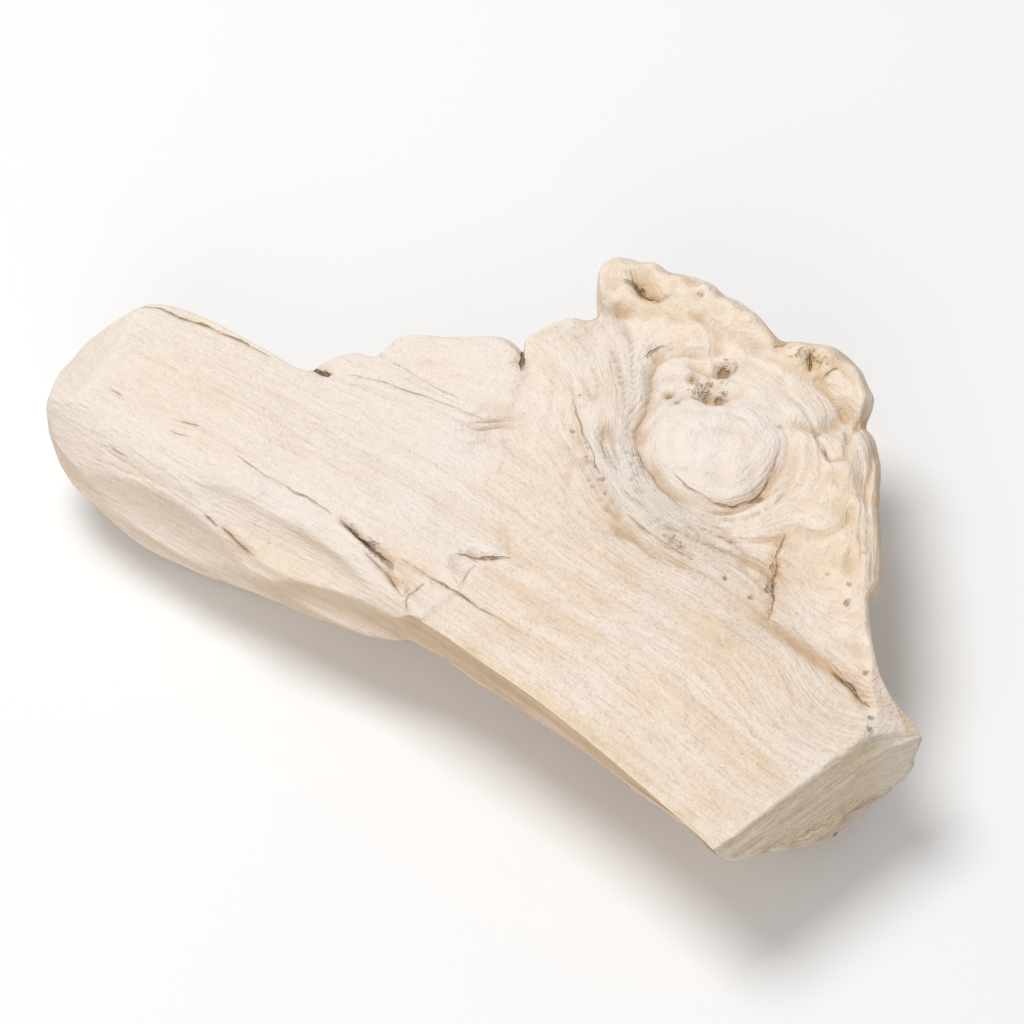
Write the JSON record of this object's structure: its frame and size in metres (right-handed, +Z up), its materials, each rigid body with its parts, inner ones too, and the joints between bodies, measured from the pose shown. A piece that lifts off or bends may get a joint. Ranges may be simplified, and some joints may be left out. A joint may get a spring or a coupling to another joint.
{
  "type": "driftwood piece",
  "caption": "Bleached driftwood chunk: a broken root stump that widens into a flat split slab with a swirling knot; lies on its rounded underside as a natural ornament.",
  "frame": {"origin": "middle of the bounding box in X and Y, at the level the piece lies on", "axes": "+X along the grain, from the broken root end to the sawn end; +Y from the thin split edge to the thick curled edge behind the knot; +Z up, out of the split face"},
  "size_m": [0.2076, 0.1216, 0.0416],
  "materials": {
    "bleached_wood": "matte, sun-bleached and water-worn, with open grain"
  },
  "bodies": {
    "root": {"driftwood": "bleached_wood"}
  },
  "joints": []
}
